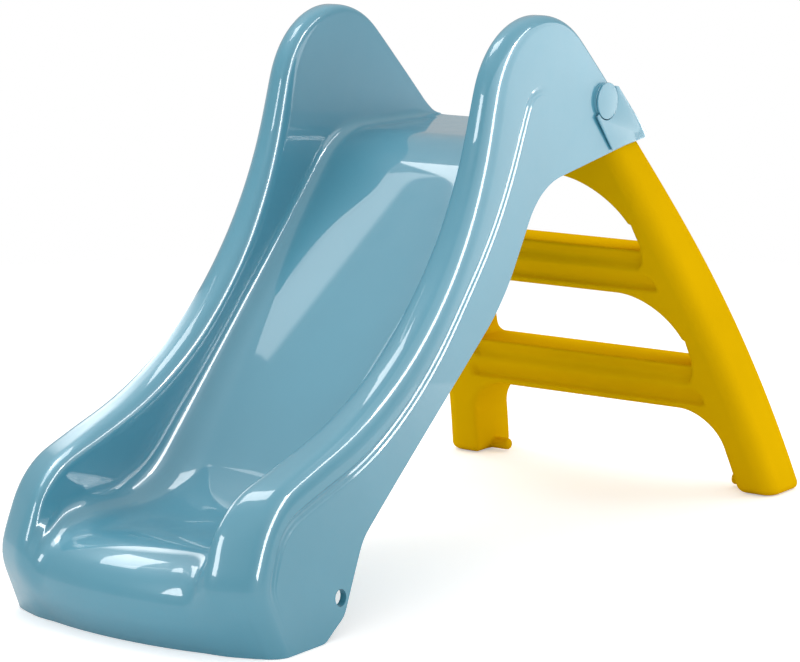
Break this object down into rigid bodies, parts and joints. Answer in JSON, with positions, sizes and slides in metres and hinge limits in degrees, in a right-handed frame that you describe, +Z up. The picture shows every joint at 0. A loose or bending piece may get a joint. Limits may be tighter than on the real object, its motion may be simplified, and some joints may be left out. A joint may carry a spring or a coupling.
{
  "type": "toddler slide",
  "caption": "Toddler slide: a moulded trough chute with tall rounded ears beside its platform, carried by a hollow splayed step ladder that folds under it on side hinges.",
  "frame": {"origin": "centre of the bounding box, on the floor", "axes": "+X from the nose of the chute to the ladder's feet, +Y across the slide to its left as seen by a child sliding down, +Z up"},
  "size_m": [1.182, 0.554, 0.7],
  "materials": {
    "chute_blue": "glossy dusty blue",
    "ladder_yellow": "satin mustard yellow",
    "clip_grey": "plain grey"
  },
  "bodies": {
    "chute": {"slide_chute": "chute_blue"},
    "ladder": {"ladder_frame": "ladder_yellow", "hinge_plate_left": "chute_blue", "hinge_plate_right": "chute_blue", "hinge_pin_left": "chute_blue", "hinge_pin_right": "chute_blue", "hinge_clip_left": "clip_grey", "hinge_clip_right": "clip_grey"}
  },
  "joints": [
    {"name": "ladder_fold", "type": "hinge", "parent": "chute", "child": "ladder", "pos_m": [0.19595, 0, 0.58], "axis": [0, 1, 0], "range_deg": [0, 70]}
  ]
}
